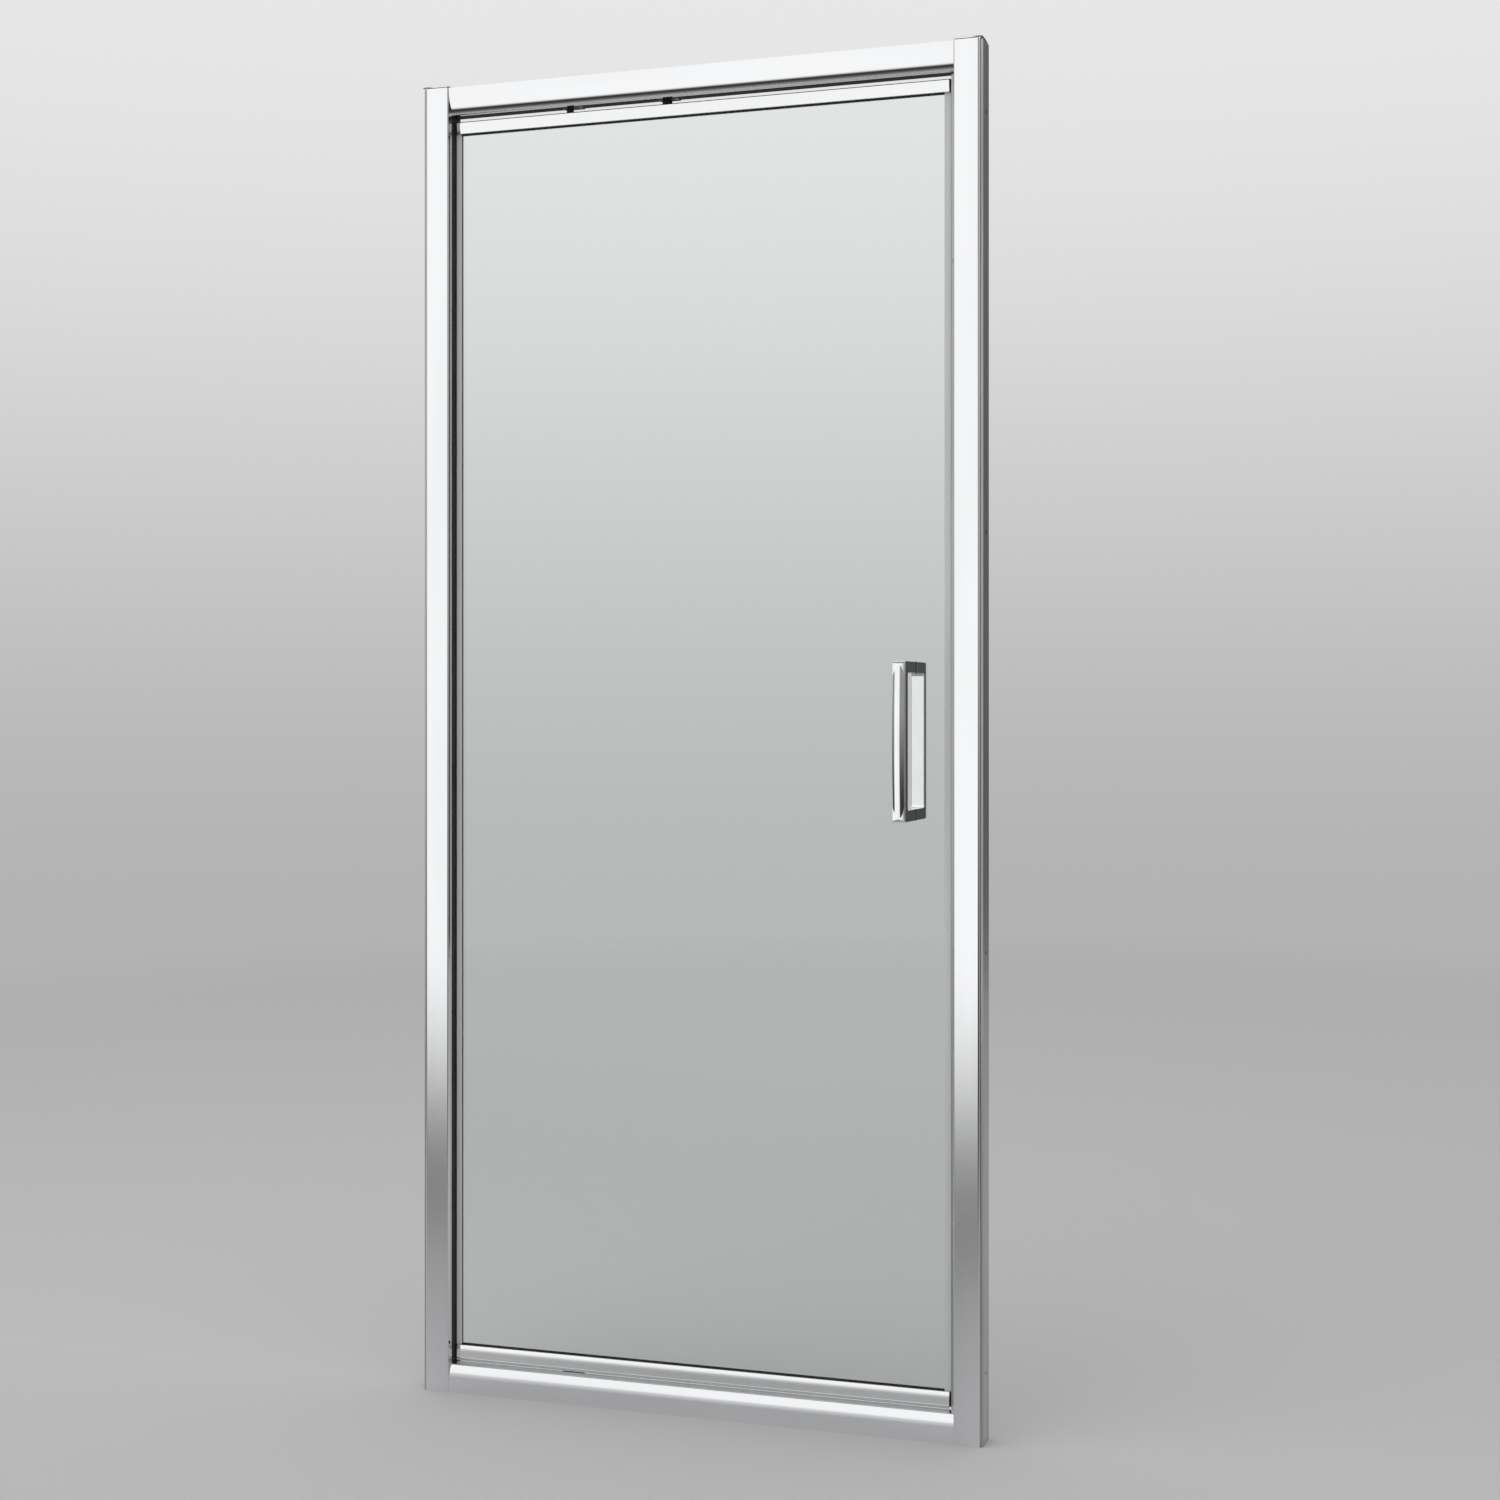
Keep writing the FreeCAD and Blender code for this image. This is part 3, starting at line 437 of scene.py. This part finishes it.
def grub_screw(radius, length, socket):
    """A headless screw with a hexagon socket, socket upwards, its outer end at the origin."""
    rim = 0.15 * radius
    point = 0.4 * radius
    bpy.ops.object.select_all(action="DESELECT")
    bpy.ops.mesh.primitive_cylinder_add(
        vertices=40, radius=radius, depth=length, location=(0, 0, -length / 2)
    )
    bpy.ops.object.transform_apply(location=True, rotation=False, scale=False)
    screw = bpy.context.object
    bpy.ops.object.mode_set(mode="EDIT")
    pick_level(screw, 0, 1)
    bpy.ops.mesh.bevel(offset=rim, segments=2, affect="EDGES")
    pick_level(screw, -length, -1)
    bpy.ops.mesh.bevel(offset=point, segments=2, affect="EDGES")
    bpy.ops.object.mode_set(mode="OBJECT")
    bpy.ops.object.select_all(action="DESELECT")
    bpy.ops.mesh.primitive_cylinder_add(vertices=6, radius=socket, depth=length)
    key = bpy.context.object
    carve(screw, key)
    bpy.data.objects.remove(key)
    smooth_by_edges(screw)
    return screw


grub_radius = 0.002
grub_length = 0.0044
grub_socket = 0.00115
low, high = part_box("handle_set_screws")
grub_line = ((low.x + high.x) / 2, (low.y + high.y) / 2)
grub_places = [((*grub_line, high.z), (0, 0, 1)), ((*grub_line, low.z), (0, 0, -1))]
grub = grub_screw(grub_radius, grub_length, grub_socket)
fit_screws(grub, "handle_grub_screws", "handle_set_screws", "door", grub_places)


# Studio
# A pale floor that fades out into a pale surround, and one soft lamp overhead. Reflections alone find
# painted light
# and shade: a tall glowing white screen in front of the door, soft at its foot, a dark front and a black
# patch behind it on the right.

def soft_step(tree, source, start, end, low=0.0, high=1.0):
    """A soft step over a source: low before start, high after end."""
    step = tree.nodes.new("ShaderNodeMapRange")
    step.interpolation_type = "SMOOTHSTEP"
    step.inputs["From Min"].default_value = start
    step.inputs["From Max"].default_value = end
    step.inputs["To Min"].default_value = low
    step.inputs["To Max"].default_value = high
    tree.links.new(source, step.inputs["Value"])
    return step.outputs["Result"]


def combine(tree, operation, first, *others):
    """One value out of several sources, such as their product."""
    for other in others:
        both = tree.nodes.new("ShaderNodeMath")
        both.operation = operation
        tree.links.new(first, both.inputs[0])
        tree.links.new(other, both.inputs[1])
        first = both.outputs["Value"]
    return first


def three_ways(tree, source):
    """X, Y and Z of a place or a view direction."""
    split = tree.nodes.new("ShaderNodeSeparateXYZ")
    tree.links.new(source, split.inputs["Vector"])
    return split.outputs


floor_solid = 3.0
floor_reach = 5.3
floor_front = -3.0
floor_thinning = 0.8
floor_middle = (-0.3, 2.3, 0)
bpy.ops.object.select_all(action="DESELECT")
bpy.ops.mesh.primitive_circle_add(vertices=96, radius=floor_reach, fill_type="NGON", location=floor_middle)
bpy.ops.object.transform_apply(location=True, rotation=False, scale=False)
floor = bpy.context.object
floor.name = "studio_floor"
paper = finish("studio_paper", (0.68, 0.68, 0.685), 0, 0.95)
paper_tree = paper.node_tree
paper_shader = paper_tree.nodes["Principled BSDF"]
paper_shader.inputs["Specular IOR Level"].default_value = 0
paper_place = paper_tree.nodes.new("ShaderNodeTexCoord").outputs["Object"]
from_middle = paper_tree.nodes.new("ShaderNodeVectorMath")
from_middle.operation = "DISTANCE"
from_middle.inputs[1].default_value = floor_middle
paper_tree.links.new(paper_place, from_middle.inputs[0])
outer_fade = soft_step(paper_tree, from_middle.outputs["Value"], floor_reach, floor_solid)
to_front = paper_tree.nodes.new("ShaderNodeMapRange")
to_front.inputs["From Min"].default_value = 0
to_front.inputs["From Max"].default_value = floor_front
paper_tree.links.new(three_ways(paper_tree, paper_place)["Y"], to_front.inputs["Value"])
front_gone = paper_tree.nodes.new("ShaderNodeMath")
front_gone.operation = "POWER"
front_gone.inputs[1].default_value = floor_thinning
paper_tree.links.new(to_front.outputs["Result"], front_gone.inputs[0])
front_left = paper_tree.nodes.new("ShaderNodeMath")
front_left.operation = "SUBTRACT"
front_left.inputs[0].default_value = 1
paper_tree.links.new(front_gone.outputs["Value"], front_left.inputs[1])
paper_cover = combine(paper_tree, "MULTIPLY", outer_fade, front_left.outputs["Value"])
paper_tree.links.new(paper_cover, paper_shader.inputs["Alpha"])
floor.data.materials.append(paper)
floor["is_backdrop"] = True

# The white screen is a glowing card and no lamp. Only reflections after a glossy bounce see it, and it
# lights nothing and casts no shadow. It paints a white reflection.
screen_side = 6.0
screen_middle = (-1.65, -4.5, 1.8)
bpy.ops.object.select_all(action="DESELECT")
bpy.ops.mesh.primitive_plane_add(
    size=screen_side, location=screen_middle, rotation=(math.radians(90), 0, 0)
)
bpy.ops.object.transform_apply(location=True, rotation=True, scale=False)
screen = bpy.context.object
screen.name = "white_screen"
glow_card = finish("reflection_glow_card", (0, 0, 0), 0, 1)
glow_tree = glow_card.node_tree
glow_shader = glow_tree.nodes["Principled BSDF"]
glow_shader.inputs["Specular IOR Level"].default_value = 0
glow_shader.inputs["Emission Color"].default_value = (1, 1, 1, 1)
glow_shader.inputs["Emission Strength"].default_value = 1
glow_way = three_ways(glow_tree, glow_tree.nodes.new("ShaderNodeTexCoord").outputs["Object"])
glow_ray = glow_tree.nodes.new("ShaderNodeLightPath").outputs
glow_cover = combine(
    glow_tree, "MULTIPLY",
    soft_step(glow_tree, glow_way["X"], start=0.3, end=-0.35),
    soft_step(glow_tree, glow_way["X"], start=-3.6, end=-2.75),
    soft_step(glow_tree, glow_way["Z"], start=-0.95, end=0.2),
    soft_step(glow_tree, glow_ray["Glossy Depth"], start=0, end=1),
)
glow_tree.links.new(glow_cover, glow_shader.inputs["Alpha"])
screen.data.materials.append(glow_card)
screen.visible_camera = False
screen.visible_diffuse = False
screen.visible_shadow = False
screen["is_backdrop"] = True

world = bpy.data.worlds.new("studio_surround")
bpy.context.scene.world = world
world.use_nodes = True
sky = world.node_tree


def sky_blend(share, first, second):
    """From first to second by share; second is a source or a plain tone."""
    blend = sky.nodes.new("ShaderNodeMix")
    sky.links.new(share, blend.inputs["Factor"])
    sky.links.new(first, blend.inputs["A"])
    if isinstance(second, float):
        blend.inputs["B"].default_value = second
    else:
        sky.links.new(second, blend.inputs["B"])
    return blend.outputs["Result"]


# Only reflections see this painted surround: a dark front, darkest below the horizon, and a black patch
# behind the door on the right. The camera sees the pale backdrop, and the light on the object comes from
# the plain soft level.
black_tone = 0.06
sky_way = three_ways(sky, sky.nodes.new("ShaderNodeTexCoord").outputs["Generated"])
ray = sky.nodes.new("ShaderNodeLightPath").outputs
backdrop = soft_step(sky, sky_way["Z"], start=-0.1, end=0.32, low=0.45, high=0.8)
front = soft_step(sky, sky_way["Y"], start=0.1, end=-0.3)
front_tone = soft_step(sky, sky_way["Z"], start=-0.15, end=0.08, low=0.04, high=0.3)
painted_black_patch = combine(
    sky, "MULTIPLY",
    soft_step(sky, sky_way["X"], start=0.06, end=0.16),
    soft_step(sky, sky_way["X"], start=0.62, end=0.5),
    soft_step(sky, sky_way["Y"], start=0.1, end=0.4),
)
mirrored = sky_blend(painted_black_patch, sky_blend(front, backdrop, front_tone), black_tone)
surround = sky_blend(soft_step(sky, ray["Glossy Depth"], start=0, end=1), backdrop, mirrored)
shown = sky.nodes["Background"]
sky.links.new(surround, shown.inputs["Color"])
soft_light = sky.nodes.new("ShaderNodeBackground")
soft_light.inputs["Strength"].default_value = 0.75
shown_to = combine(
    sky, "MAXIMUM", ray["Is Camera Ray"], ray["Is Glossy Ray"], ray["Is Transmission Ray"]
)
sky_mix = sky.nodes.new("ShaderNodeMixShader")
sky.links.new(shown_to, sky_mix.inputs["Fac"])
sky.links.new(soft_light.outputs["Background"], sky_mix.inputs[1])
sky.links.new(shown.outputs["Background"], sky_mix.inputs[2])
sky.links.new(sky_mix.outputs["Shader"], sky.nodes["World Output"].inputs["Surface"])

lamp_place = Vector((-0.8, -1.2, 4.4))
lamp_data = bpy.data.lights.new("top_softbox", "AREA")
lamp_data.size = 3.0
lamp_data.energy = 34
lamp = bpy.data.objects.new("top_softbox", lamp_data)
lamp.location = lamp_place
lamp.rotation_euler = lamp_place.to_track_quat("Z", "Y").to_euler()
lamp.visible_camera = False
lamp.visible_glossy = False
bpy.context.scene.collection.objects.link(lamp)


# Camera
# It stands level at the height of the handle, to the right of the door, and its picture is shifted
# down a little, as in the photograph.

camera_data = bpy.data.cameras.new("camera")
camera_data.sensor_width = 36
camera_data.lens = 53.74
camera_data.shift_y = -0.0283
camera = bpy.data.objects.new("camera", camera_data)
camera.location = (1.107, -3.151, 1.05)
camera.rotation_euler = (math.radians(90), 0, math.radians(18.04))
bpy.context.scene.collection.objects.link(camera)
bpy.context.scene.camera = camera
bpy.context.scene.view_settings.view_transform = "Standard"

low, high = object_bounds()
